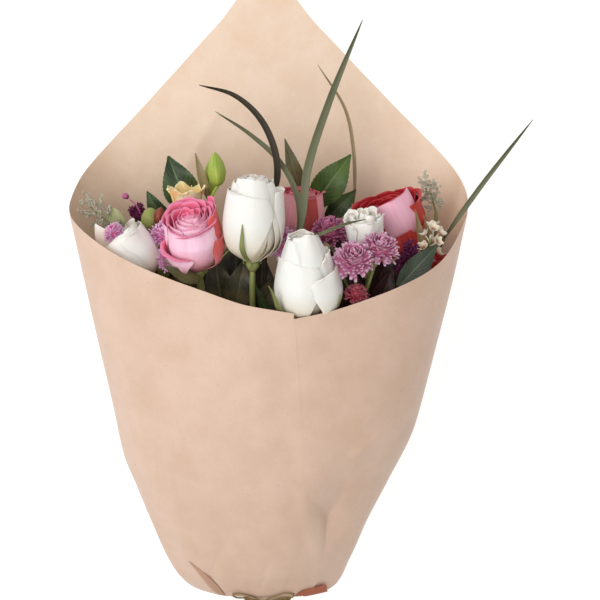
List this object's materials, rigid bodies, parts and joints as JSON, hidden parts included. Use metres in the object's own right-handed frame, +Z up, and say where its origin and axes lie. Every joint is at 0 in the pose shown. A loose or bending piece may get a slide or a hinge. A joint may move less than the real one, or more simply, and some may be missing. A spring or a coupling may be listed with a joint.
{
  "type": "flower bouquet",
  "caption": "Mixed bouquet of roses, lisianthus, button chrysanthemums, leaves and grasses in a kraft paper cone tied with twine, lying on its back.",
  "frame": {"origin": "on the flat spot of the paper's back that the bouquet rests on, under the middle of its mouth", "axes": "+Y from the twine towards the point of the paper, +Z up out of the bouquet's front, +X to the right of someone who looks down on it with the point away from them"},
  "size_m": [0.3286, 0.5431, 0.163],
  "materials": {
    "kraft_paper": "uncoated brown wrapping paper, matt, with fine fibres and soft creases",
    "twine": "thin natural jute twine, matt",
    "white_petal": "warm white petals, soft satin, greenish at the foot",
    "pink_petal": "pink petals with coral and lilac edges, soft satin",
    "coral_petal": "coral red petals with pink faces, soft satin",
    "yellow_petal": "yellow petals with orange streaks, soft satin",
    "lilac_petal": "lilac florets with pale tips, matt",
    "plum_petal": "dark plum papery florets, matt",
    "green_stem": "mid green stems, sepals and buds, satin",
    "dark_leaf": "dark green leaves with paler veins, satin",
    "grass_blade": "grey-green grass blades, satin",
    "grey_sprig": "grey-green dry sprigs, matt"
  },
  "bodies": {
    "root": {"paper_wrap": "kraft_paper", "twine_bow": "twine", "twine_end_1": "twine", "twine_end_2": "twine", "rose_white_tall_bloom": "white_petal", "rose_white_front_bloom": "white_petal", "lisianthus_right_bloom": "white_petal", "lisianthus_left_bloom": "white_petal", "waxflower": "white_petal", "rose_pink_left_bloom": "pink_petal", "rose_pink_back_bloom": "pink_petal", "rose_coral_right_bloom": "coral_petal", "freesia_red": "coral_petal", "alstroemeria_bloom": "yellow_petal", "mum_left_head_1": "lilac_petal", "mum_left_head_2": "lilac_petal", "mum_centre_head_1": "lilac_petal", "mum_right_head_1": "lilac_petal", "mum_right_head_2": "lilac_petal", "mum_right_head_3": "plum_petal", "mum_right_head_4": "plum_petal", "statice_left": "plum_petal", "statice_right": "plum_petal", "rose_white_tall_stem": "green_stem", "rose_white_front_stem": "green_stem", "rose_pink_left_stem": "green_stem", "rose_pink_back_stem": "green_stem", "rose_coral_right_stem": "green_stem", "lisianthus_right_stem": "green_stem", "lisianthus_left_stem": "green_stem", "alstroemeria_stem": "green_stem", "mum_left_spray": "green_stem", "mum_centre_spray": "green_stem", "mum_right_spray": "green_stem", "bud_left": "green_stem", "foliage_left": "dark_leaf", "foliage_centre": "dark_leaf", "foliage_right": "dark_leaf", "foliage_front": "dark_leaf", "grass_left": "grass_blade", "grass_centre": "grass_blade", "grass_back": "grass_blade", "grass_right": "grass_blade", "limonium_left": "grey_sprig", "limonium_right": "grey_sprig"}
  },
  "joints": []
}
